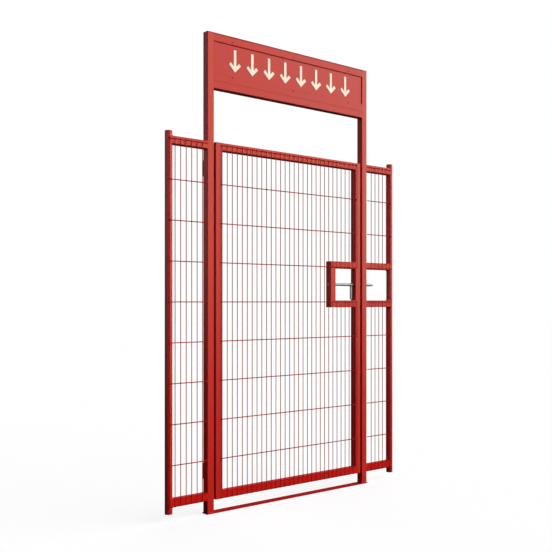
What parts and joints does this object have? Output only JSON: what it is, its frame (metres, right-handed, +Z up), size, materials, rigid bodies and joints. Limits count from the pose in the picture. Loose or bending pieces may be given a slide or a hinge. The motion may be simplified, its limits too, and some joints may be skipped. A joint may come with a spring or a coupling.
{
  "type": "pedestrian entrance gate",
  "caption": "Red welded portal gate with a sign panel above, a hinged mesh leaf held shut by a slide bolt through a lock box, and a narrow mesh panel on each side.",
  "frame": {"origin": "middle of the sill bar's underside, at ground level, on the portal's centre line", "axes": "+X to the right seen from the front, front towards -Y, +Z up"},
  "size_m": [1.612, 0.071, 2.444],
  "materials": {
    "frame_paint": "semi-gloss red powder coat on welded steel tube",
    "mesh_paint": "semi-gloss red powder coat on welded steel wire",
    "sign_face": "red powder-coated sheet with pale raised marks",
    "zinc_steel": "zinc-plated round bar, scuffed where it slides"
  },
  "bodies": {
    "frame": {"sill_plate": "frame_paint", "left_portal_post": "frame_paint", "right_portal_post": "frame_paint", "portal_top_rail": "frame_paint", "portal_cover": "frame_paint", "sign_lower_rail": "frame_paint", "sign_foot_bar": "frame_paint", "sign_plate": "sign_face", "left_outer_post": "frame_paint", "left_panel_top_rail": "frame_paint", "left_panel_bottom_rail": "frame_paint", "left_panel_mesh": "mesh_paint", "right_outer_post": "frame_paint", "right_panel_top_rail": "frame_paint", "right_panel_bottom_rail": "frame_paint", "right_panel_upper_lock_rail": "frame_paint", "right_panel_lower_lock_rail": "frame_paint", "right_panel_upper_mesh": "mesh_paint", "right_panel_lower_mesh": "mesh_paint", "upper_hinge_fixed_flap": "frame_paint", "upper_hinge_pin": "zinc_steel", "lower_hinge_fixed_flap": "frame_paint", "lower_hinge_pin": "zinc_steel"},
    "leaf": {"leaf_hinge_stile": "frame_paint", "leaf_hinge_stile_caps": "frame_paint", "leaf_lock_stile": "frame_paint", "leaf_lock_stile_caps": "frame_paint", "leaf_top_rail": "frame_paint", "leaf_bottom_rail": "frame_paint", "lock_box_stile": "frame_paint", "lock_box_stile_caps": "frame_paint", "lock_box_upper_rail": "frame_paint", "lock_box_lower_rail": "frame_paint", "leaf_main_mesh": "mesh_paint", "leaf_upper_mesh": "mesh_paint", "leaf_lower_mesh": "mesh_paint", "upper_hinge_moving_flap": "frame_paint", "lower_hinge_moving_flap": "frame_paint"},
    "bolt": {"slide_bolt": "zinc_steel", "bolt_handle": "zinc_steel"}
  },
  "joints": [
    {"name": "gate_swing", "type": "hinge", "parent": "frame", "child": "leaf", "pos_m": [-0.525, 0.031, 0], "axis": [0, 0, 1], "range_deg": [0, 180]},
    {"name": "bolt_slide", "type": "slide", "parent": "leaf", "child": "bolt", "axis": [-1, 0, 0], "range_m": [0, 0.127]}
  ]
}
